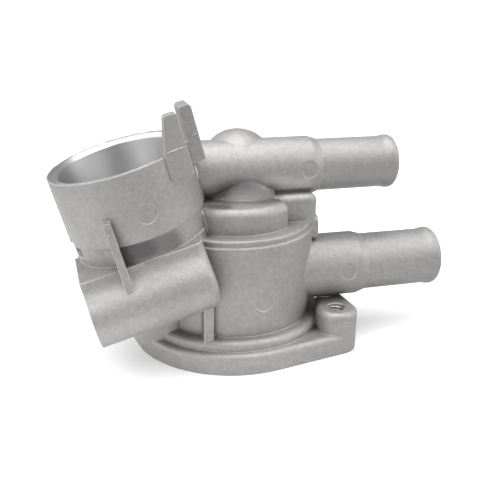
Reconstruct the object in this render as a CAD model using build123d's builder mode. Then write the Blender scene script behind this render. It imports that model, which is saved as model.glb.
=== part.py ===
from build123d import *
from math import cos, radians, sin
import os

# Frame: origin on the flange's bottom face at the middle of the main chamber, X along the
# hose nipples, +Z up out of the flange. All sizes are in mm.

# Flange
flange_ledge = 2.8
flange_thickness = 7.3
flange_edge_round = 2.0
bolt_circle = 80.0
bolt_angle = -34.7
ear_radius = 7.4
ear_height = 15.3
ear_round = 2.0
ear_back = 9.0
ear_back_radius = 5.5
ear_shift = 1.2
thread_size = 6.0
thread_mouth = 6.8

# Chamber body
body_radius = 29.0
body_height = 42.4
collar_ledge = 4.4
collar_height = 10.6
collar_round = 2.2
shoulder_ledge = 0.9
shoulder_rise = 2.2
shoulder_round = 0.8
neck_radius = 23.0
neck_rise = 8.7
neck_right = 16.0
neck_corner_round = 3.4
neck_top_round = 3.0
body_wall = 4.0
seal_land = 3.2
seal_width = 3.0
seal_depth = 2.3

# Upper pipe
upper_y = 0.0
upper_z = 61.7
upper_hose = 18.6
upper_step = 30.2
upper_end = 60.3
upper_start = -26.0
upper_bore_start = -15.0

# Lower pipe
lower_y = -8.0
lower_z = 25.8
lower_hose = 20.8
lower_step = 46.6
lower_end = 76.4
lower_start = 0.0
lower_bore_start = 2.0

# Sizes that both pipes share
pipe_step = 1.2
step_run = 2.6
step_rise = 0.45
step_round = 2.5
bead_rise = 0.45
bead_length = 5.0
end_round = 1.6
nipple_wall = 2.4

# Domed riser behind the upper pipe, and the hollow flare at its foot
riser_x = 3.0
riser_back = 4.3
riser_radius = 13.3
flare_radius = 14.4
flare_lip = 0.5
flare_inset = 0.3
flare_drop = 0.6
riser_bore = 14.0

# Web between the neck, the two pipes and the chamber
web_start = 12.0
web_end = 28.1
web_half = 4.3
web_gap = 7.5
web_round = 2.6
web_edge_round = 2.4
web_step = 0.5
web_step_rise = 1.4

# Leaning ring
lean = 15.5
rim_x = -40.8
rim_y = -8.0
rim_z = 70.2
ring_radius = 23.15
ring_wall = 3.4
rim_chamfer = 1.1
rim_chamfer_width = 2.0
ring_seat_depth = 26.0
ring_core_radius = 17.0
ring_core_depth = 43.0
ring_depth = 50.0
groove_depth = 22.0
band_radius = 22.4
ledge_depth = 28.8
skirt_radius = 22.7

# Cross boss on the ring
boss_left = 23.9
boss_right = 16.6
boss_front = 19.5
boss_level = 42.5
boss_radius = 9.9
boss_right_round = 3.0

# Fin on the ring
fin_left = 11.3
fin_width = 2.4
fin_top = 13.0
fin_reach = 26.6
fin_foot = 36.0

# Tabs on the rim
tab_bottom = 7.6
front_tab_left = 12.9
front_tab_right = 20.3
front_tab_top = 12.0
front_tab_top_left = 16.0
front_tab_face = 19.6
tab_thickness = 3.2
rear_tab_left = 22.4
rear_tab_right = 26.5
rear_tab_top = 11.1
rear_tab_face = 9.5
rear_tab_length = 8.5
tab_round = 1.2

# Side window in the ring
window_top = 19.6
window_bottom = 26.4
window_shoulder = 23.0
window_near = 9.2
window_far = 2.6
window_round = 1.2

# Ejector marks, pressed a little way into the round walls
mark_depth = 0.25
pipe_mark_radius = 2.9
body_mark_radius = 3.3
ring_mark_radius = 3.2
upper_mark_back = 4.9
upper_mark_rise = 0.9
lower_mark_back = 8.2
lower_mark_rise = 0.8
body_mark_x = 4.2
body_mark_z = 22.6
ring_mark_across = 2.4
ring_mark_depth = 14.0

# Second foot and rib
foot_x = -25.6
foot_y = -8.6
foot_radius = 9.8
foot_height = 26.0
rib_left = -16.6
rib_width = 3.3
rib_reach = 28.2
rib_height = 26.0

lean_cos = cos(radians(lean))
lean_sin = sin(radians(lean))
rim_centre = (rim_x, rim_y, rim_z)
ring_axis = Axis(rim_centre, (-lean_sin, 0, lean_cos))
ring_plane = Plane(rim_centre, x_dir=(lean_cos, 0, lean_sin), z_dir=(-lean_sin, 0, lean_cos))
ring_section = Plane(rim_centre, x_dir=(lean_cos, 0, lean_sin), z_dir=(0, -1, 0))
boss_section = Plane(rim_centre, x_dir=(0, -1, 0), z_dir=(-lean_cos, 0, -lean_sin))
ring_right = Plane(rim_centre, x_dir=(0, 1, 0), z_dir=(lean_cos, 0, lean_sin))
turned_base = Plane((0, 0, 0), x_dir=(0, 1, 0), z_dir=(0, 0, 1))
bore_radius = ring_radius - ring_wall
collar_radius = body_radius + collar_ledge
flange_radius = collar_radius + flange_ledge
chamber_radius = body_radius - body_wall
seal_inner_radius = chamber_radius + seal_land
chamber_depth = body_height - body_wall
shoulder_height = body_height + shoulder_rise
neck_height = shoulder_height + neck_rise
neck_bore = neck_right - body_wall
ear_x = bolt_circle / 2 * cos(radians(bolt_angle))
ear_y = bolt_circle / 2 * sin(radians(bolt_angle))
mouth_depth = (thread_mouth - thread_size) / 2
mouth_align = (Align.CENTER, Align.CENTER, Align.MAX)
crest = boss_radius * cos(radians(45))
ramp_top = (skirt_radius, -ledge_depth)
ramp_foot = (boss_front + crest, -boss_level + crest)
boss_axis = Axis(rim_centre, (lean_cos, 0, lean_sin))
riser_y = upper_y + riser_back
riser_section = Plane((riser_x, riser_y, 0), x_dir=(1, 0, 0), z_dir=(0, -1, 0))
riser_axis = Axis((riser_x, riser_y, 0), (0, 0, 1))
flare_section = Plane((riser_x, upper_y, 0), x_dir=(1, 0, 0), z_dir=(0, -1, 0))
flare_axis = Axis((riser_x, upper_y, 0), (0, 0, 1))
flare_right = Plane((neck_right - neck_top_round, 0, 0), x_dir=(0, 1, 0), z_dir=(1, 0, 0))
web_section = Plane((0, lower_y - web_half, 0), x_dir=(1, 0, 0), z_dir=(0, -1, 0))
web_thickness = upper_y - lower_y + 2 * web_half
web_bottom = body_height - body_wall
web_top = upper_z - web_gap
web_step_level = shoulder_height + web_step_rise
upper_section = Plane((0, upper_y, upper_z), x_dir=(1, 0, 0), z_dir=(0, -1, 0))
lower_section = Plane((0, lower_y, lower_z), x_dir=(1, 0, 0), z_dir=(0, -1, 0))
upper_turn = Plane((0, upper_y, upper_z), x_dir=(0, 1, 0), z_dir=(1, 0, 0))
lower_turn = Plane((0, lower_y, lower_z), x_dir=(0, 1, 0), z_dir=(1, 0, 0))
upper_wall = upper_hose / 2 + pipe_step
lower_wall = lower_hose / 2 + pipe_step
flare_neck = upper_wall - flare_inset
upper_mark = (upper_step - upper_mark_back, upper_mark_rise)
lower_mark = (lower_step - lower_mark_back, lower_mark_rise)
ring_mark = (ring_mark_across, -ring_mark_depth)
mark_places = (
    (upper_section, upper_mark, pipe_mark_radius, upper_turn, upper_wall, upper_step),
    (lower_section, lower_mark, pipe_mark_radius, lower_turn, lower_wall, lower_step),
    (Plane.XZ, (body_mark_x, body_mark_z), body_mark_radius, Plane.XY, body_radius, body_height),
    (ring_section, ring_mark, ring_mark_radius, ring_plane, ring_radius, ring_depth),
)
pipe_sizes = (
    (upper_start, upper_bore_start, upper_step, upper_end, upper_y, upper_z, upper_hose),
    (lower_start, lower_bore_start, lower_step, lower_end, lower_y, lower_z, lower_hose),
)


def ejector_mark(section, place, pin_radius, turn, wall_radius, wall_length):
    """The part of an ejector pin that stands outside the mark's floor in a round wall."""
    with BuildPart() as mark:
        with BuildSketch(section):
            with Locations(place):
                Circle(pin_radius)
        extrude(amount=wall_radius)
        with BuildSketch(turn):
            Circle(wall_radius - mark_depth)
        extrude(amount=wall_length, both=True, mode=Mode.SUBTRACT)
    return mark.part


def corner(sketch, across, up):
    """Corners of an open sketch at one place, so that each can be rounded by itself."""
    return sketch.vertices().filter_by(lambda v: abs(v.X - across) < 0.01 and abs(v.Y - up) < 0.01)


# Flange with two ears
with BuildPart() as flange:
    with BuildSketch() as flange_outline:
        Circle(flange_radius)
        with Locations((ear_x, ear_y), (-ear_x, -ear_y)):
            Circle(ear_radius)
        make_hull()
    extrude(amount=flange_thickness)
    fillet(flange.faces().sort_by(Axis.Z)[-1].edges(), flange_edge_round)

# Ear boss, running back beside the chamber
with BuildPart() as ear:
    with BuildSketch() as ear_outline:
        with Locations((ear_x, ear_y)):
            Circle(ear_radius)
        with Locations((ear_x + ear_shift, ear_y + ear_back)):
            Circle(ear_back_radius)
        make_hull()
    extrude(amount=ear_height)
    fillet(ear.faces().sort_by(Axis.Z)[-1].edges(), ear_round)

# Chamber, collar, shoulder and neck
with BuildPart() as body:
    with BuildSketch(Plane.XZ) as body_outline:
        with BuildLine():
            Polyline(
                (0, 0),
                (collar_radius, 0),
                (collar_radius, collar_height),
                (body_radius, collar_height),
                (body_radius, body_height),
                (body_radius - shoulder_ledge, body_height),
                (body_radius - shoulder_ledge, shoulder_height),
                (0, shoulder_height),
                (0, 0),
            )
        make_face()
        fillet(corner(body_outline, collar_radius, collar_height), collar_round)
        fillet(corner(body_outline, body_radius, body_height), shoulder_ledge / 2)
        fillet(corner(body_outline, body_radius - shoulder_ledge, shoulder_height), shoulder_round)
    revolve(axis=Axis.Z)

# Neck, a round block cut straight on the web's side
with BuildPart() as neck:
    with BuildSketch(Plane.XY.offset(web_bottom)) as neck_outline:
        Circle(neck_radius)
        with Locations((neck_right, 0)):
            Rectangle(neck_radius, 2 * neck_radius, align=(Align.MIN, Align.CENTER), mode=Mode.SUBTRACT)
        fillet(neck_outline.vertices(), neck_corner_round)
    extrude(amount=neck_height - web_bottom)
    fillet(neck.faces().sort_by(Axis.Z)[-1].edges(), neck_top_round)

# Riser, an upright post with a round top
with BuildPart() as riser:
    with BuildSketch(riser_section):
        with BuildLine():
            Polyline(
                (0, upper_z + riser_radius),
                (0, neck_height - body_wall / 2),
                (riser_radius, neck_height - body_wall / 2),
                (riser_radius, upper_z),
            )
            CenterArc((0, upper_z), riser_radius, 0, 90)
        make_face()
    revolve(axis=riser_axis)

# Flare from the neck's top up to the upper pipe
with BuildPart() as flare:
    with BuildSketch(flare_section):
        with BuildLine():
            Polyline(
                (flare_neck, upper_z - flare_drop),
                (0, upper_z - flare_drop),
                (0, neck_height - body_wall / 2),
                (flare_radius, neck_height - body_wall / 2),
                (flare_radius, neck_height + flare_lip),
            )
            Spline(
                (flare_radius, neck_height + flare_lip),
                (flare_neck, upper_z - flare_drop),
                tangents=((-1, 1), (-0.1, 1)),
            )
        make_face()
    revolve(axis=flare_axis)
    split(bisect_by=flare_right, keep=Keep.BOTTOM)

# Web, with a small step in its free edge
with BuildPart() as web:
    with BuildSketch(web_section) as web_outline:
        with BuildLine():
            Polyline(
                (web_start, web_bottom),
                (web_end + web_step, web_bottom),
                (web_end + web_step, web_step_level),
                (web_end, web_step_level),
                (web_end, web_top),
                (web_start, web_top),
                close=True,
            )
        make_face()
        fillet(corner(web_outline, web_end, web_top), web_round)
    extrude(amount=-web_thickness)
    front_edges = web.faces().sort_by(Axis.Y)[0].edges()
    upper_edges = front_edges.filter_by(lambda e: e.center().Z > web_step_level)
    fillet(upper_edges.filter_by(lambda e: e.center().X > web_start + web_step), web_edge_round)

# Hose pipes, each with a step and a bead
with BuildPart() as pipes:
    for start, bore_start, step, end, across, level, hose in pipe_sizes:
        nipple = hose / 2
        with BuildSketch(Plane((0, across, level), x_dir=(1, 0, 0), z_dir=(0, -1, 0))) as pipe_outline:
            with BuildLine():
                Polyline(
                    (start, 0),
                    (start, nipple + pipe_step),
                    (step - step_run, nipple + pipe_step),
                    (step, nipple + step_rise),
                    (step, nipple),
                    (end - bead_length, nipple),
                    (end - bead_length / 2, nipple + bead_rise),
                    (end, nipple + bead_rise),
                    (end, 0),
                    (start, 0),
                )
            make_face()
            fillet(corner(pipe_outline, step - step_run, nipple + pipe_step), step_round)
            fillet(corner(pipe_outline, end, nipple + bead_rise), end_round)
        revolve(axis=Axis((0, across, level), (1, 0, 0)))

# Leaning ring with its groove and ledge
with BuildPart() as ring:
    with BuildSketch(ring_section) as ring_outline:
        with BuildLine():
            Polyline(
                (0, 0),
                (ring_radius, 0),
                (ring_radius, -groove_depth),
                (band_radius, -groove_depth),
                (band_radius, -ledge_depth),
                (skirt_radius, -ledge_depth),
                (skirt_radius, -ring_depth),
                (0, -ring_depth),
                (0, 0),
            )
        make_face()
    revolve(axis=ring_axis)

# Cross boss with a hollow ramp down from the ring
with BuildPart() as boss:
    with BuildSketch(boss_section.offset(boss_left)) as boss_outline:
        with BuildLine():
            Spline(ramp_top, ramp_foot, tangents=((0, -1), (1, -1)))
            CenterArc((boss_front, -boss_level), boss_radius, 45, -135)
            Polyline(
                (boss_front, -boss_level - boss_radius),
                (0, -boss_level - boss_radius),
                (0, -ledge_depth),
                ramp_top,
            )
        make_face()
    extrude(amount=-boss_left - boss_right)
    right_face = boss.faces().sort_by(boss_axis)[-1]
    round_edges = right_face.edges().filter_by(lambda e: e.center().Y < rim_y - boss_front)
    fillet(round_edges, boss_right_round)

# Fin from the ring down to the boss
with BuildPart() as fin:
    with BuildSketch(boss_section.offset(fin_left)) as fin_outline:
        with BuildLine():
            Polyline(
                (skirt_radius - ring_wall, -fin_top),
                (ring_radius, -fin_top),
                (fin_reach, -fin_foot),
                (skirt_radius - ring_wall, -fin_foot),
                close=True,
            )
        make_face()
    extrude(amount=-fin_width)

# Front tab, a flat plate across the view
with BuildPart() as front_tab:
    with BuildSketch(ring_section.offset(front_tab_face)) as front_outline:
        with BuildLine():
            Polyline(
                (front_tab_left, -tab_bottom),
                (front_tab_right, -tab_bottom),
                (front_tab_right, front_tab_top),
                (front_tab_top_left, front_tab_top),
                (front_tab_left, 0),
                close=True,
            )
        make_face()
        fillet(front_outline.vertices().group_by(Axis.Y)[-1], tab_round)
    extrude(amount=-tab_thickness)
    with BuildSketch(ring_section.offset(front_tab_face)):
        with BuildLine():
            Polyline(
                (front_tab_left, -tab_bottom),
                (front_tab_right, -tab_bottom),
                (front_tab_right, 0),
                (front_tab_left, 0),
                close=True,
            )
        make_face()
    extrude(amount=-front_tab_face / 2)

# Rear tab, a narrow plate seen on its edge
with BuildPart() as rear_tab:
    with BuildSketch(ring_section.offset(rear_tab_face)) as rear_outline:
        with BuildLine():
            Polyline(
                (rear_tab_left, -tab_bottom),
                (rear_tab_right, -tab_bottom),
                (rear_tab_right, rear_tab_top),
                (rear_tab_left, rear_tab_top),
                close=True,
            )
        make_face()
        fillet(rear_outline.vertices(), tab_round)
    extrude(amount=-rear_tab_length)
    with BuildSketch(ring_section.offset(rear_tab_face)):
        with BuildLine():
            Polyline(
                (ring_radius - ring_wall, -tab_bottom),
                (rear_tab_left + tab_round, -tab_bottom),
                (rear_tab_left + tab_round, 0),
                (ring_radius - ring_wall, 0),
                close=True,
            )
        make_face()
    extrude(amount=-rear_tab_length)

# Second foot beside the chamber and the rib in front of it
with BuildPart() as foot:
    with BuildSketch(Plane.XY.offset(flange_thickness / 2)):
        with Locations((foot_x, foot_y)):
            Circle(foot_radius)
    extrude(amount=foot_height)
    with BuildSketch():
        with Locations((rib_left + rib_width / 2, -rib_reach / 2)):
            Rectangle(rib_width, rib_reach)
    extrude(amount=rib_height)

marks = [ejector_mark(*mark_place) for mark_place in mark_places]

# One casting out of all of them
with BuildPart() as housing:
    add(flange.part)
    add(ear.part)
    add(ear.part.rotate(Axis.Z, 180))
    add(body.part)
    add(neck.part)
    add(foot.part)
    add(riser.part)
    add(flare.part)
    add(web.part)
    add(pipes.part)
    add(ring.part)
    add(boss.part)
    add(fin.part)
    add(front_tab.part)
    add(rear_tab.part)

    # Chamber bore, open through the flange
    with BuildSketch(turned_base):
        Circle(chamber_radius)
    extrude(amount=chamber_depth, mode=Mode.SUBTRACT)
    with BuildSketch(turned_base):
        Circle(neck_bore)
    extrude(amount=neck_height - body_wall, mode=Mode.SUBTRACT)

    # Seat for the ring's insert and the cored space under it
    with BuildSketch(ring_section):
        with BuildLine():
            Polyline(
                (0, 0),
                (bore_radius + rim_chamfer_width, 0),
                (bore_radius, -rim_chamfer),
                (bore_radius, -ring_seat_depth),
                (ring_core_radius, -ring_seat_depth),
                (ring_core_radius, -ring_core_depth),
                (0, -ring_core_depth),
                close=True,
            )
        make_face()
    revolve(axis=ring_axis, mode=Mode.SUBTRACT)

    # Pipe bores, and the riser between the chamber and the upper pipe
    for start, bore_start, step, end, across, level, hose in pipe_sizes:
        with BuildSketch(Plane((end, across, level), x_dir=(0, 1, 0), z_dir=(1, 0, 0))):
            Circle(hose / 2 - nipple_wall)
        extrude(amount=bore_start - end, mode=Mode.SUBTRACT)
    with BuildSketch(Plane.XY.offset(shoulder_height)):
        with Locations((riser_x, upper_y)):
            Circle(riser_bore / 2)
    extrude(amount=upper_z - shoulder_height, mode=Mode.SUBTRACT)

    # Tapped holes with their countersunk mouths, and the seal groove
    with Locations((ear_x, ear_y, ear_height), (-ear_x, -ear_y, ear_height)):
        Hole(thread_size / 2, ear_height)
        Cone(thread_size / 2, thread_mouth / 2, mouth_depth, align=mouth_align, mode=Mode.SUBTRACT)
    with BuildSketch():
        Circle(seal_inner_radius + seal_width)
        Circle(seal_inner_radius, mode=Mode.SUBTRACT)
    extrude(amount=seal_depth, mode=Mode.SUBTRACT)

    # Side window through the ring's wall
    with BuildSketch(ring_right.offset(-ring_radius - ring_wall)) as window_outline:
        with BuildLine():
            Polyline(
                (-window_far, -window_bottom),
                (-window_near, -window_bottom),
                (-window_near, -window_shoulder),
                (-window_far - 2 * window_round, -window_top),
                (-window_far, -window_top),
                close=True,
            )
        make_face()
        fillet(window_outline.vertices(), window_round)
    extrude(amount=ring_radius, mode=Mode.SUBTRACT)

    # Ejector marks
    for mark in marks:
        add(mark, mode=Mode.SUBTRACT)

housing.part.label = "housing"
os.makedirs("parts", exist_ok=True)
export_step(housing.part, "parts/housing.step")
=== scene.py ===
"""A cast aluminium thermostat housing with a turned ring seat and tapped ears."""

import logging
import math
from dataclasses import dataclass
from enum import Enum

import bmesh
import bpy
from mathutils import Matrix, Vector


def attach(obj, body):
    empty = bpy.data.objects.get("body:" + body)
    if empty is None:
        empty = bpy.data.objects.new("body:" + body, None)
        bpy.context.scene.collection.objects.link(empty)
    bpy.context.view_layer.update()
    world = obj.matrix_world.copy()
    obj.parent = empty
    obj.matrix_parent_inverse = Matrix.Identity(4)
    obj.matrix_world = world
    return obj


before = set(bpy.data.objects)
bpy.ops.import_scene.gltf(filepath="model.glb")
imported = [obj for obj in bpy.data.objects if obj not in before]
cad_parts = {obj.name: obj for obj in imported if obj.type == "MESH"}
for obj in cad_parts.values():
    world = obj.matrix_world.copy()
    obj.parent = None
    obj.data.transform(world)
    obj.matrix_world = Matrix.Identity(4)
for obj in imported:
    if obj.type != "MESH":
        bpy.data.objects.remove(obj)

log = logging.getLogger("thermostat_housing")

MM = 0.001
IMAGE_SIDE = 500
MERGE = 0.0001 * MM
BEAD_SIDES = 8

Socket = bpy.types.NodeSocket
PixelLine = tuple[tuple[float, float], ...]


class Slot(Enum):
    """The record's material slots."""

    CAST = "cast"


class NodeBench:
    """A small helper that adds nodes to a tree and joins them."""

    def __init__(self, tree: bpy.types.NodeTree) -> None:
        """Empties the tree.

        Args:
            tree: The node tree to fill.
        """
        self.tree = tree
        tree.nodes.clear()

    def add(self, kind: str, **settings: object) -> bpy.types.Node:
        """Adds one node.

        Args:
            kind: The node's type name, without its ShaderNode prefix.
            settings: Values for the node's own properties.

        Returns:
            The new node.
        """
        node = self.tree.nodes.new("ShaderNode" + kind)
        for name, value in settings.items():
            setattr(node, name, value)
        return node

    def link(self, source: Socket, target: Socket) -> None:
        """Joins an output to an input."""
        self.tree.links.new(source, target)

    def feed(self, socket: Socket, value: object) -> None:
        """Joins a socket to an input, or writes a plain value on it."""
        if isinstance(value, Socket):
            self.link(value, socket)
        else:
            socket.default_value = value

    def math(self, operation: str, *values: object) -> Socket:
        """Works out a number from sockets and plain values.

        Args:
            operation: The Math node's operation.
            values: Its inputs, in order.

        Returns:
            The node's output.
        """
        node = self.add("Math", operation=operation)
        for socket, value in zip(node.inputs, values):
            self.feed(socket, value)
        return node.outputs[0]

    def vector(self, operation: str, *values: object) -> Socket:
        """Works out a vector, or a number for dot products and lengths.

        Args:
            operation: The Vector Math node's operation.
            values: Its inputs, in order.

        Returns:
            The node's output.
        """
        node = self.add("VectorMath", operation=operation)
        for socket, value in zip(node.inputs, values):
            self.feed(socket, value)
        number = operation in ("DOT_PRODUCT", "LENGTH", "DISTANCE")
        return node.outputs["Value" if number else "Vector"]

    def scale(self, value: object, factor: object) -> Socket:
        """Scales a vector by a number.

        Returns:
            The scaled vector.
        """
        node = self.add("VectorMath", operation="SCALE")
        self.feed(node.inputs[0], value)
        self.feed(node.inputs["Scale"], factor)
        return node.outputs["Vector"]

    def noise(self, place: Socket, scale: float, detail: float, roughness: float = 0.5) -> Socket:
        """Fractal noise between 0 and 1.

        Args:
            place: The coordinates to read.
            scale: Waves per metre.
            detail: Octaves.
            roughness: How strong the fine octaves are.

        Returns:
            The noise value.
        """
        node = self.add("TexNoise")
        self.link(place, node.inputs["Vector"])
        node.inputs["Scale"].default_value = scale
        node.inputs["Detail"].default_value = detail
        node.inputs["Roughness"].default_value = roughness
        return node.outputs["Fac"]

    def span(self, value: Socket, low: float, high: float, to_low: float, to_high: float) -> Socket:
        """Maps one range to another, clamped and eased.

        Args:
            value: The number to map.
            low: The start of its range.
            high: The end of its range.
            to_low: The result at the start.
            to_high: The result at the end.

        Returns:
            The mapped number.
        """
        node = self.add("MapRange", interpolation_type="SMOOTHSTEP")
        for socket, number in zip(node.inputs, (value, low, high, to_low, to_high)):
            self.feed(socket, number)
        return node.outputs[0]

    def mix(self, share: object, first: object, second: object) -> Socket:
        """Mixes two colours.

        Args:
            share: The share of the second colour.
            first: The first colour.
            second: The second colour.

        Returns:
            The mixed colour.
        """
        node = self.add("Mix", data_type="RGBA")
        self.feed(node.inputs[0], share)
        self.feed(node.inputs[6], first)
        self.feed(node.inputs[7], second)
        return node.outputs[2]

    def bump(self, height: Socket, strength: float, distance: float, normal: object = None) -> Socket:
        """Turns a height into a normal.

        Args:
            height: The height, from 0 to 1.
            strength: How much of it counts.
            distance: The depth in metres of a full step.
            normal: A normal to build on.

        Returns:
            The bumped normal.
        """
        node = self.add("Bump")
        node.inputs["Strength"].default_value = strength
        node.inputs["Distance"].default_value = distance
        self.link(height, node.inputs["Height"])
        if normal is not None:
            self.link(normal, node.inputs["Normal"])
        return node.outputs["Normal"]


@dataclass(frozen=True)
class PhotoView:
    """Where the photograph was taken from, solved from points read off it."""

    eye: Vector = Vector((-64.37, -243.57, 125.89)) * MM
    forward: Vector = Vector((0.2634, 0.8986, -0.3510))
    right: Vector = Vector((0.9612, -0.2755, 0.0160))
    focal_px: float = 736.5

    def turn(self) -> Matrix:
        """The camera's rotation, with its back along +Z.

        Returns:
            A 3x3 rotation.
        """
        back = -self.forward.normalized()
        right = (self.right - back * self.right.dot(back)).normalized()
        return Matrix((right, back.cross(right), back)).transposed()

    def ray(self, pixel: tuple[float, float]) -> Vector:
        """The direction in which a pixel of the photograph looks."""
        half = IMAGE_SIDE / 2
        return (self.turn() @ Vector((pixel[0] - half, half - pixel[1], -self.focal_px))).normalized()

    def land(self, node: str, pixel: tuple[float, float]) -> tuple[Vector, Vector]:
        """Finds the spot of a CAD node that a pixel shows.

        Args:
            node: The CAD node.
            pixel: The pixel's x and y.

        Returns:
            The spot and the surface's normal there.
        """
        found, spot, normal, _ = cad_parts[node].ray_cast(self.eye, self.ray(pixel))
        if not found:
            raise ValueError(f"pixel {pixel} misses {node}")
        return spot, normal


@dataclass(frozen=True)
class RingPlace:
    """Where the leaning ring's rim lies, in the row frame."""

    lean_deg: float = 15.5
    rim: tuple[float, float, float] = (-40.8 * MM, -8.0 * MM, 70.2 * MM)
    seat_radius: float = 21.85 * MM
    seat_depth: float = 26.05 * MM
    rim_radius: float = 22.7 * MM
    skirt_limit: float = 22.95 * MM

    @property
    def axis(self) -> Vector:
        """The ring's axis, pointing out of its mouth."""
        lean = math.radians(self.lean_deg)
        return Vector((-math.sin(lean), 0, math.cos(lean)))

    def radius(self, bench: NodeBench, place: Socket) -> Socket:
        """Distance of a shaded point from the ring's axis."""
        offset = bench.vector("SUBTRACT", place, self.rim)
        return bench.vector("LENGTH", bench.vector("CROSS_PRODUCT", tuple(self.axis), offset))

    def spot(self, radius: float, around_deg: float, height: float) -> Vector:
        """A point by its place on the ring.

        Args:
            radius: Distance from the axis.
            around_deg: Angle round the axis, from the chamber's side.
            height: Distance above the rim, below it when negative.

        Returns:
            The point in the row frame.
        """
        around = math.radians(around_deg)
        across = Vector((self.axis.z, 0, -self.axis.x))
        outward = across * math.cos(around) + Vector((0, math.sin(around), 0))
        return Vector(self.rim) + outward * radius + self.axis * height


@dataclass(frozen=True)
class PaintedLightPatch:
    """A patch of painted shade on the skin, which is painted light where level is above 1; its level was set
    against the photograph.

    The patch lies round the spots that its pixels show. Its colour is scaled by level in the core and
    eased out to nothing at reach. Only points nearer to the ring's axis than ring_limit take it.
    """

    pixels: PixelLine
    reach: float
    level: float
    ring_limit: float = 1.0
    core_share: float = 0.1

    def shade(self, bench: NodeBench, place: Socket, node: str, ring: RingPlace) -> Socket:
        """Finds how much a point's colour is scaled.

        Args:
            bench: The tree to add to.
            place: Object coordinates.
            node: The CAD node that carries the patch.
            ring: Where the ring is.

        Returns:
            The factor, 1 away from the patch.
        """
        near: Socket | float = 0.0
        for pixel in self.pixels:
            spot, _ = PhotoView().land(node, pixel)
            gap = bench.vector("LENGTH", bench.vector("SUBTRACT", place, tuple(spot)))
            share = bench.span(gap, self.reach, self.core_share * self.reach, 0, 1)
            near = bench.math("MAXIMUM", near, share)
        inside = bench.math("LESS_THAN", ring.radius(bench, place), self.ring_limit)
        return bench.span(bench.math("MULTIPLY", near, inside), 0, 1, 1, self.level)


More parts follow.
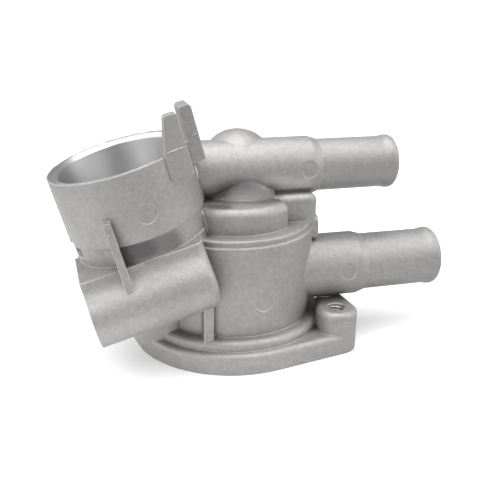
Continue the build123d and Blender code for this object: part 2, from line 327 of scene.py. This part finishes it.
@dataclass(frozen=True)
class CastSkin:
    """Shot-blasted die-cast aluminium: sandy grain, cloudy tone, pale edges that are partly wear and partly
    painted highlight, and painted shade in the hollows.
    """

    light: tuple[float, float, float] = (0.465, 0.457, 0.453)
    dark: tuple[float, float, float] = (0.318, 0.31, 0.306)
    # Pale colour laid on the edges: partly wear, partly painted highlight, as concave creases take it too.
    pale_metal: tuple[float, float, float] = (0.74, 0.735, 0.725)
    # Painted shade: the tint that the colour of closed-in corners is multiplied by.
    hollow_shade: tuple[float, float, float] = (0.5, 0.485, 0.48)
    metallic: float = 0.8
    cloud_scale: float = 70.0
    blotch_scale: float = 620.0
    grain_scale: float = 2100.0
    grain_depth: float = 0.17 * MM
    pit_scale: float = 620.0
    pit_depth: float = 0.12 * MM
    pit_size: float = 0.16
    edge_radius: float = 0.6 * MM
    edge_facing: tuple[float, float] = (0.95, 0.78)
    # How far the painted shade in the hollows reaches, and over what range of openness it fades.
    hollow_reach: float = 7.0 * MM
    hollow_range: tuple[float, float] = (0.15, 0.65)
    tone_range: tuple[float, float] = (0.28, 0.72)
    roughness: tuple[float, float] = (0.48, 0.62)

    def shade(self, bench: NodeBench, place: Socket, factors: list[Socket]) -> Socket:
        """Builds the skin's shader.

        Args:
            bench: The tree to add to.
            place: Object coordinates.
            factors: The painted shade and painted light that scale the colour, one for each patch.

        Returns:
            The shader's output.
        """
        cloud = bench.noise(place, self.cloud_scale, 3.0)
        grain = bench.noise(place, self.grain_scale, 3.0, 0.7)
        blotch = bench.noise(place, self.blotch_scale, 2.0, 0.6)
        tone = bench.math("MULTIPLY", cloud, 0.2)
        for noise, share in ((blotch, 0.3), (grain, 0.5)):
            tone = bench.math("ADD", tone, bench.math("MULTIPLY", noise, share))
        colour = bench.mix(bench.span(tone, *self.tone_range, 0, 1), (*self.dark, 1), (*self.light, 1))
        soft_normal, edge = self.find_edges(bench)
        # Pale edges, on convex and concave edges alike: partly wear, partly painted highlight.
        wear_and_highlight = bench.math("MULTIPLY", edge, bench.span(cloud, 0.25, 0.6, 0.35, 1))
        colour = bench.mix(wear_and_highlight, colour, (*self.pale_metal, 1))
        # Painted shade in the hollows.
        colour = self.paint_hollow_shade(bench, colour)
        # Painted shade and painted light from the patches.
        for factor in factors:
            colour = bench.scale(colour, factor)
        pits = bench.span(self.pits(bench, place), 0.0, self.pit_size, 1, 0)
        shader = bench.add("BsdfPrincipled")
        shader.inputs["Metallic"].default_value = self.metallic
        bench.link(colour, shader.inputs["Base Color"])
        bench.link(bench.span(grain, 0.3, 0.7, *self.roughness), shader.inputs["Roughness"])
        grained = bench.bump(grain, 0.7, self.grain_depth, soft_normal)
        level = bench.math("SUBTRACT", 1.0, pits)
        bench.link(bench.bump(level, 1.0, self.pit_depth, grained), shader.inputs["Normal"])
        return shader.outputs[0]

    def find_edges(self, bench: NodeBench) -> tuple[Socket, Socket]:
        """Rounds the look of each sharp edge, and finds where the edges are.

        Returns:
            The rounded normal, and a mask that is 1 on an edge.
        """
        bevel = bench.add("Bevel", samples=6)
        bevel.inputs["Radius"].default_value = self.edge_radius
        flat = bench.add("NewGeometry").outputs["Normal"]
        facing = bench.vector("DOT_PRODUCT", bevel.outputs[0], flat)
        return bevel.outputs[0], bench.span(facing, *self.edge_facing, 0, 1)

    def paint_hollow_shade(self, bench: NodeBench, colour: Socket) -> Socket:
        """Paints shade into the closed-in corners, darker where less of the surroundings is open.

        Returns:
            The darkened colour.
        """
        reach = bench.add("AmbientOcclusion", samples=8, only_local=True)
        reach.inputs["Distance"].default_value = self.hollow_reach
        openness = bench.span(reach.outputs["AO"], *self.hollow_range, 0, 1)
        shade = bench.mix(openness, (*self.hollow_shade, 1), (1, 1, 1, 1))
        node = bench.add("Mix", data_type="RGBA", blend_type="MULTIPLY")
        node.inputs[0].default_value = 1.0
        bench.link(colour, node.inputs[6])
        bench.link(shade, node.inputs[7])
        return node.outputs[2]

    def pits(self, bench: NodeBench, place: Socket) -> Socket:
        """Distance to the nearest of the few gas pits.

        Returns:
            The distance, in cells.
        """
        cells = bench.add("TexVoronoi", feature="F1")
        bench.link(place, cells.inputs["Vector"])
        cells.inputs["Scale"].default_value = self.pit_scale
        return cells.outputs["Distance"]


@dataclass(frozen=True)
class TurnedSeat:
    """Bright turned aluminium with fine rings that run round the bore."""

    colour: tuple[float, float, float] = (0.6, 0.6, 0.6)
    bore_colour: tuple[float, float, float] = (0.74, 0.74, 0.745)
    stretch: float = 0.95
    roughness: tuple[float, float] = (0.3, 0.4)
    face_margin: float = 0.06 * MM
    mark_scale: float = 3800.0
    mark_depth: float = 0.012 * MM

    def shade(self, bench: NodeBench, place: Socket, ring: RingPlace) -> tuple[Socket, Socket]:
        """Builds the turned finish and the mask that says where it is.

        Args:
            bench: The tree to add to.
            place: Object coordinates.
            ring: Where the ring is.

        Returns:
            The shader's output and the mask, 1 on the turned surface.
        """
        axis = tuple(ring.axis)
        offset = bench.vector("SUBTRACT", place, ring.rim)
        along = bench.vector("DOT_PRODUCT", offset, axis)
        radius = ring.radius(bench, place)
        in_bore = bench.math("LESS_THAN", radius, ring.seat_radius)
        in_depth = bench.math("GREATER_THAN", along, -ring.seat_depth)
        under_rim = bench.math("LESS_THAN", along, self.face_margin)
        bore = bench.math("MULTIPLY", in_bore, in_depth)
        on_face = bench.math("GREATER_THAN", along, -self.face_margin)
        in_rim = bench.math("LESS_THAN", radius, ring.rim_radius)
        face = bench.math("MULTIPLY", on_face, in_rim)
        mask = bench.math("MULTIPLY", bench.math("MAXIMUM", bore, face), under_rim)
        stripes = bench.add("CombineXYZ")
        bench.link(along, stripes.inputs[0])
        bench.link(radius, stripes.inputs[1])
        tool_marks = bench.noise(stripes.outputs[0], self.mark_scale, 1.5)
        outward = bench.vector("SUBTRACT", offset, bench.scale(axis, along))
        spoke = bench.vector("NORMALIZE", outward)
        across = bench.vector("ADD", bench.scale(axis, bore), bench.scale(spoke, face))
        shader = bench.add("BsdfPrincipled")
        shader.inputs["Metallic"].default_value = 1.0
        shader.inputs["Anisotropic"].default_value = self.stretch
        bench.link(bench.mix(face, (*self.bore_colour, 1), (*self.colour, 1)), shader.inputs["Base Color"])
        bench.link(bench.span(tool_marks, 0.3, 0.7, *self.roughness), shader.inputs["Roughness"])
        bench.link(bench.vector("NORMALIZE", across), shader.inputs["Tangent"])
        bench.link(bench.bump(tool_marks, 0.5, self.mark_depth), shader.inputs["Normal"])
        return shader.outputs[0], mask


def new_material(name: str) -> tuple[bpy.types.Material, NodeBench, Socket]:
    """Starts a node material.

    Args:
        name: The material's name.

    Returns:
        The material, a bench for its nodes and its Object coordinates.
    """
    material = bpy.data.materials.new(name)
    material.use_nodes = True
    bench = NodeBench(material.node_tree)
    return material, bench, bench.add("TexCoord").outputs["Object"]


@dataclass(frozen=True)
class BareMetal:
    """Fresh bright aluminium, as on burrs, flash and cut threads."""

    name: str = "bare_aluminium"
    colour: tuple[float, float, float] = (0.78, 0.78, 0.77)
    dull: tuple[float, float, float] = (0.5, 0.495, 0.485)
    scale: float = 1800.0
    depth: float = 0.03 * MM

    def make(self) -> bpy.types.Material:
        """Builds the material.

        Returns:
            The material.
        """
        material, bench, place = new_material(self.name)
        scratch = bench.noise(place, self.scale, 3.0, 0.6)
        shader = bench.add("BsdfPrincipled")
        shader.inputs["Metallic"].default_value = 1.0
        bench.link(bench.mix(bench.span(scratch, 0.35, 0.65, 0, 1), (*self.dull, 1), (*self.colour, 1)),
                   shader.inputs["Base Color"])
        bench.link(bench.span(scratch, 0.3, 0.7, 0.25, 0.45), shader.inputs["Roughness"])
        bench.link(bench.bump(scratch, 0.5, self.depth), shader.inputs["Normal"])
        bench.link(shader.outputs[0], bench.add("OutputMaterial").inputs["Surface"])
        return material


@dataclass
class Casting:
    """The housing itself, which is the CAD node with its finish and with patches of painted shade and
    painted light.
    """

    node: str = "housing"
    skin: CastSkin = CastSkin()
    seat: TurnedSeat = TurnedSeat()
    ring: RingPlace = RingPlace()
    skirt_band: PixelLine = (
        (131, 253), (137, 251.5), (143, 250.5), (149, 249), (155, 247), (161, 245), (167, 242.5), (173, 240),
    )
    skirt_corner: PixelLine = ((131, 253), (137, 251.5), (143, 250.5))
    flare_front: PixelLine = (
        (230, 193), (238, 193), (246, 193), (254, 194), (262, 196), (270, 197),
    )
    flare_left: PixelLine = ((213, 207), (218, 207), (223, 207))
    pipe_underside: PixelLine = ((272, 186), (279, 186), (286, 186), (293, 187), (300, 187))

    @property
    def painted_light_patches(self) -> tuple[PaintedLightPatch, ...]:
        """The patches of painted shade and painted light on the skin, in the order in which they are laid.
        """
        return (
            # Painted shadow on the band under the ring's skirt overhang.
            PaintedLightPatch(self.skirt_band, 6.0 * MM, 0.56, self.ring.skirt_limit),
            PaintedLightPatch(self.skirt_corner, 7.5 * MM, 0.62, self.ring.skirt_limit),
            # Painted shadow on the flare under the upper pipe.
            PaintedLightPatch(self.flare_front, 8.0 * MM, 0.5),
            PaintedLightPatch(self.flare_left, 5.0 * MM, 0.5),
            # Painted light on the upper pipe's underside, brighter than the skin's own colour.
            PaintedLightPatch(self.pipe_underside, 7.0 * MM, 1.4),
        )

    def dress(self) -> None:
        """Gives the CAD node its blasted skin, with painted shade and painted light, and its turned seat."""
        material, bench, place = new_material("cast_aluminium")
        factors = [patch.shade(bench, place, self.node, self.ring) for patch in self.painted_light_patches]
        skin = self.skin.shade(bench, place, factors)
        turned, mask = self.seat.shade(bench, place, self.ring)
        mix = bench.add("MixShader")
        bench.link(mask, mix.inputs[0])
        bench.link(skin, mix.inputs[1])
        bench.link(turned, mix.inputs[2])
        bench.link(mix.outputs[0], bench.add("OutputMaterial").inputs["Surface"])
        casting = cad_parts[self.node]
        casting.data.materials.clear()
        casting.data.materials.append(material)
        log.info("dressed %s", self.node)


def finish_piece(name: str, shape: bmesh.types.BMesh, material: bpy.types.Material) -> bpy.types.Object:
    """Turns a bmesh into a smooth piece that rides on the housing.

    Args:
        name: The piece's name.
        shape: Its mesh, which is freed.
        material: Its finish.

    Returns:
        The piece.
    """
    bmesh.ops.remove_doubles(shape, verts=shape.verts, dist=MERGE)
    bmesh.ops.recalc_face_normals(shape, faces=shape.faces)
    mesh = bpy.data.meshes.new(name)
    shape.to_mesh(mesh)
    shape.free()
    mesh.shade_smooth()
    mesh.materials.append(material)
    piece = bpy.data.objects.new(name, mesh)
    bpy.context.scene.collection.objects.link(piece)
    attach(piece, "root")
    log.info("made %s", name)
    return piece


def add_bead(shape: bmesh.types.BMesh, points: list[Vector], radius: float, taper: float = 0.4) -> None:
    """Sweeps a slim round bead through some points, with thinner ends.

    Args:
        shape: The mesh to add to.
        points: The bead's middle line.
        radius: Its radius.
        taper: How thin it is at its ends, as a share of the radius.
    """
    turn = (points[1] - points[0]).to_track_quat("Z", "Y").to_matrix().to_4x4()
    start = bmesh.ops.create_circle(shape, cap_ends=True, segments=BEAD_SIDES, radius=radius * taper,
                                    matrix=Matrix.Translation(points[0]) @ turn)
    cap = start["verts"][0].link_faces[0]
    for index, (here, there) in enumerate(zip(points, points[1:])):
        grown = bmesh.ops.extrude_face_region(shape, geom=[cap])
        cap = next(item for item in grown["geom"] if isinstance(item, bmesh.types.BMFace))
        bmesh.ops.translate(shape, verts=cap.verts, vec=there - here)
        if index == 0:
            grow = 1 / taper
        elif index == len(points) - 2:
            grow = taper
        else:
            continue
        bmesh.ops.scale(shape, verts=cap.verts, vec=(grow, grow, grow), space=Matrix.Translation(-there))


@dataclass
class TappedHoles:
    """The cut threads inside the two ears' holes."""

    bolt_circle: float = 80.0 * MM
    bolt_deg: float = -34.7
    root_radius: float = 3.05 * MM
    crest_radius: float = 2.5 * MM
    pitch: float = 1.0 * MM
    bottom: float = 0.7 * MM
    turns: int = 14
    steps_per_turn: int = 32

    def build(self, metal: bpy.types.Material) -> None:
        """Cuts a thread in each ear."""
        for name, side in (("thread_front", 0.0), ("thread_rear", 180.0)):
            angle = math.radians(self.bolt_deg + side)
            middle = Vector((math.cos(angle), math.sin(angle), 0)) * self.bolt_circle / 2
            finish_piece(name, self.ridge(middle), metal)

    def ridge(self, middle: Vector) -> bmesh.types.BMesh:
        """Winds one thread's ridge up its hole.

        Args:
            middle: The hole's middle on the bottom face.

        Returns:
            The ridge as a closed mesh.
        """
        shape = bmesh.new()
        profile = [
            (self.root_radius, -0.47 * self.pitch),
            (self.crest_radius, -0.08 * self.pitch),
            (self.crest_radius, 0.08 * self.pitch),
            (self.root_radius, 0.47 * self.pitch),
        ]
        corners = [shape.verts.new(middle + Vector((r, 0, self.bottom + z))) for r, z in profile]
        start = shape.faces.new(corners)
        bmesh.ops.spin(
            shape,
            geom=[start, *start.edges, *start.verts],
            cent=middle,
            axis=(0, 0, 1),
            dvec=(0, 0, self.pitch / self.steps_per_turn),
            angle=2 * math.pi * self.turns,
            steps=self.turns * self.steps_per_turn,
        )
        return shape


@dataclass
class RimBurr:
    """The fine bright burr that turning left on the rim's outer edge."""

    ring: RingPlace = RingPlace()
    edge_radius: float = 23.1 * MM
    bead_radius: float = 0.11 * MM
    waver: float = 0.07 * MM
    waves: tuple[int, int] = (17, 29)
    steps: int = 180

    def build(self, metal: bpy.types.Material) -> None:
        """Spins the burr round the rim and makes it uneven."""
        shape = bmesh.new()
        turn = self.ring.axis.to_track_quat("Y", "Z").to_matrix().to_4x4()
        place = Matrix.Translation(self.ring.spot(self.edge_radius, 0, 0)) @ turn
        bmesh.ops.create_circle(shape, segments=BEAD_SIDES, radius=self.bead_radius, matrix=place)
        bmesh.ops.spin(shape, geom=shape.verts[:] + shape.edges[:], cent=self.ring.rim, axis=self.ring.axis,
                       angle=2 * math.pi, steps=self.steps, use_merge=True)
        for vert in shape.verts:
            offset = vert.co - Vector(self.ring.rim)
            around = math.atan2(offset.y, offset.dot(Vector((self.ring.axis.z, 0, -self.ring.axis.x))))
            vert.co += self.ring.axis * self.waver * sum(math.sin(wave * around) for wave in self.waves)
        finish_piece("rim_burr", shape, metal)


@dataclass
class Flash:
    """Thin lines of flash where the dies met and where the slides ended."""

    view: PhotoView = PhotoView()
    ring: RingPlace = RingPlace()
    node: str = "housing"
    tab_line: PixelLine = ((165.8, 153.6), (171.0, 151.6), (177.0, 149.4), (185.6, 146.4))
    rear_tab_line: PixelLine = ((190.0, 136.4), (193.0, 134.9), (196.6, 132.8))
    skirt_line: PixelLine = ((201.5, 209.0), (204.2, 219.0), (207.0, 229.0), (209.3, 236.5))
    ear_line: PixelLine = ((309.5, 298.6), (318.0, 297.6), (326.0, 296.8), (332.0, 296.2))
    side_angle: float = -10.0
    side_heights: tuple[float, ...] = (-8.0 * MM, -11.0 * MM, -15.0 * MM, -19.0 * MM, -22.0 * MM)
    side_radius: float = 23.2 * MM

    def build(self, metal: bpy.types.Material) -> None:
        """Lays each line of flash."""
        self.lay("flash_tab", self.tab_line, 0.3 * MM, metal)
        self.lay("flash_rear_tab", self.rear_tab_line, 0.24 * MM, metal)
        self.lay("flash_skirt", self.skirt_line, 0.36 * MM, metal)
        self.lay("flash_ear", self.ear_line, 0.28 * MM, metal)
        shape = bmesh.new()
        points = [self.ring.spot(self.side_radius, self.side_angle, height) for height in self.side_heights]
        add_bead(shape, points, 0.6 * MM)
        finish_piece("flash_side", shape, metal)

    def lay(self, name: str, pixels: PixelLine, radius: float,
            metal: bpy.types.Material) -> None:
        """Lays one line of flash along pixels of the photograph.

        Args:
            name: The piece's name.
            pixels: The line, as the photograph shows it.
            radius: The bead's radius.
            metal: Its finish.
        """
        shape = bmesh.new()
        add_bead(shape, [self.view.land(self.node, pixel)[0] for pixel in pixels], radius)
        finish_piece(name, shape, metal)


@dataclass
class Nibs:
    """Small raised drops that the die left on the skin."""

    view: PhotoView = PhotoView()
    node: str = "housing"
    radius: float = 0.34 * MM
    flatness: float = 0.7
    spots: PixelLine = (
        (305.6, 186.0), (363.0, 273.5), (332.8, 253.8), (197.5, 331.0), (214.7, 336.0), (258.7, 341.9),
        (224.7, 361.5), (224.3, 369.0), (218.8, 300.0), (344.8, 323.0), (108.5, 236.0), (240.2, 213.0),
    )

    def build(self, metal: bpy.types.Material) -> None:
        """Sets a flattened drop on each spot."""
        shape = bmesh.new()
        for pixel in self.spots:
            spot, normal = self.view.land(self.node, pixel)
            turn = normal.to_track_quat("Z", "Y").to_matrix().to_4x4()
            flat = Matrix.Diagonal((1, 1, self.flatness, 1))
            bmesh.ops.create_icosphere(shape, subdivisions=2, radius=self.radius,
                                       matrix=Matrix.Translation(spot) @ turn @ flat)
        finish_piece("nibs", shape, metal)


@dataclass(frozen=True)
class Softbox:
    """One soft area light, aimed at a point on the part."""

    name: str
    place: tuple[float, float, float]
    aim: tuple[float, float, float]
    width: float
    height: float
    power: float

    def build(self) -> bpy.types.Object:
        """Makes the light.

        Returns:
            The light's object.
        """
        lamp = bpy.data.lights.new(self.name, "AREA")
        lamp.shape = "RECTANGLE"
        lamp.size = self.width
        lamp.size_y = self.height
        lamp.energy = self.power
        obj = bpy.data.objects.new(self.name, lamp)
        obj.location = self.place
        obj.rotation_euler = (Vector(self.aim) - Vector(self.place)).to_track_quat("-Z", "Y").to_euler()
        bpy.context.scene.collection.objects.link(obj)
        return obj


@dataclass(frozen=True)
class Panel:
    """A brighter or darker panel of the white tent."""

    facing: tuple[float, float, float]
    edge_deg: float
    core_deg: float
    gain: float

    def shade(self, bench: NodeBench, direction: Socket, level: Socket) -> Socket:
        """Puts the panel on the tent.

        Args:
            bench: The world's node bench.
            direction: The direction that is looked in.
            level: The tent's brightness without the panel.

        Returns:
            The brightness with it.
        """
        near = bench.vector("DOT_PRODUCT", direction, tuple(Vector(self.facing).normalized()))
        edge, core = (math.cos(math.radians(angle)) for angle in (self.edge_deg, self.core_deg))
        return bench.math("MULTIPLY", level, bench.span(near, edge, core, 1.0, self.gain))


@dataclass(frozen=True)
class Studio:
    """A white floor, soft lights and the camera at the photograph's angle.

    The floor throws more light back on its left than on its right, and less far out. It also has a small
    glow that only the camera sees. All of this was set against the photograph.
    """

    view: PhotoView = PhotoView()
    floor_side: float = 40.0
    floor_tone: float = 0.95
    floor_bounce: float = 0.36
    near_bounce: tuple[float, float] = (0.95, 0.6)
    near_range: tuple[float, float] = (-50 * MM, 50 * MM)
    floor_glow: float = 0.14
    bounce_range: tuple[float, float] = (60 * MM, 260 * MM)
    side_level: float = 1.02
    top_level: float = 1.95
    top_facing: tuple[float, float, float] = (-0.05, -0.34, 0.94)
    top_range: tuple[float, float] = (0.6, 0.98)
    panels: tuple[Panel, ...] = (
        Panel((-0.04, -0.96, 0.2), 46.0, 15.0, 0.24),
        Panel((-0.92, 0.1, 0.38), 50.0, 26.0, 2.2),
        Panel((0.87, -0.2, 0.42), 34.0, 14.0, 1.95),
        Panel((0.3, 0.9, 0.3), 64.0, 22.0, 0.36),
    )
    softboxes: tuple[Softbox, ...] = (
        Softbox("top_softbox", (0.0, 0.05, 0.6), (0, 0, 0.04), 0.35, 0.35, 1.3),
    )

    def build(self) -> None:
        """Builds the whole studio."""
        self.lay_floor()
        self.light()
        self.set_camera()
        log.info("built the studio")

    def lay_floor(self) -> None:
        """Lays a large pale floor under the part."""
        grid = bmesh.new()
        bmesh.ops.create_grid(grid, x_segments=1, y_segments=1, size=self.floor_side / 2)
        mesh = bpy.data.meshes.new("floor")
        grid.to_mesh(mesh)
        grid.free()
        floor = bpy.data.objects.new("floor", mesh)
        bpy.context.scene.collection.objects.link(floor)
        material, bench, place = new_material("floor_paper")
        seen = bench.add("LightPath").outputs["Is Camera Ray"]
        far = bench.span(bench.vector("LENGTH", place), *self.bounce_range, 0, 1)
        tones = (*self.near_bounce, self.floor_bounce, self.floor_tone)
        left, right, apart, shown = ((tone, tone, tone, 1) for tone in tones)
        sideways = bench.span(bench.vector("DOT_PRODUCT", place, (1, 0, 0)), *self.near_range, 0, 1)
        near = bench.mix(sideways, left, right)
        paper = bench.add("BsdfDiffuse")
        bench.link(bench.mix(seen, bench.mix(far, near, apart), shown), paper.inputs["Color"])
        glow = bench.add("Emission")
        bench.link(bench.math("MULTIPLY", seen, self.floor_glow), glow.inputs["Strength"])
        both = bench.add("AddShader")
        bench.link(paper.outputs[0], both.inputs[0])
        bench.link(glow.outputs[0], both.inputs[1])
        bench.link(both.outputs[0], bench.add("OutputMaterial").inputs["Surface"])
        mesh.materials.append(material)

    def light(self) -> None:
        """Sets a white tent with brighter and darker panels."""
        world = bpy.data.worlds.new("studio")
        world.use_nodes = True
        bpy.context.scene.world = world
        bench = NodeBench(world.node_tree)
        direction = bench.add("TexCoord").outputs["Generated"]
        near_top = bench.vector("DOT_PRODUCT", direction, self.top_facing)
        level = bench.span(near_top, *self.top_range, self.side_level, self.top_level)
        for panel in self.panels:
            level = panel.shade(bench, direction, level)
        seen = bench.add("LightPath").outputs["Is Camera Ray"]
        level = bench.math("MAXIMUM", level, seen)
        surround = bench.add("Background")
        surround.inputs["Color"].default_value = (1, 1, 1, 1)
        bench.link(level, surround.inputs["Strength"])
        bench.link(surround.outputs[0], bench.add("OutputWorld").inputs["Surface"])
        for softbox in self.softboxes:
            softbox.build()

    def set_camera(self) -> None:
        """Puts the camera where the photograph was taken."""
        lens = bpy.data.cameras.new("camera")
        lens.sensor_width = 36.0
        lens.lens = self.view.focal_px / IMAGE_SIDE * lens.sensor_width
        lens.clip_start = 0.01
        lens.clip_end = 50.0
        camera = bpy.data.objects.new("camera", lens)
        camera.matrix_world = Matrix.Translation(self.view.eye) @ self.view.turn().to_4x4()
        bpy.context.scene.collection.objects.link(camera)
        bpy.context.scene.camera = camera


def main() -> None:
    """Builds and dresses the part, then its studio."""
    logging.basicConfig(level=logging.INFO)
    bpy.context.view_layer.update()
    scene = bpy.context.scene
    scene.view_settings.view_transform = "Standard"
    Casting().dress()
    metal = BareMetal().make()
    pale_metal = BareMetal("rubbed_aluminium", (0.62, 0.615, 0.605), (0.46, 0.455, 0.445)).make()
    TappedHoles().build(metal)
    RimBurr().build(metal)
    Flash().build(pale_metal)
    Nibs().build(pale_metal)
    Studio().build()


if __name__ == "__main__":
    main()
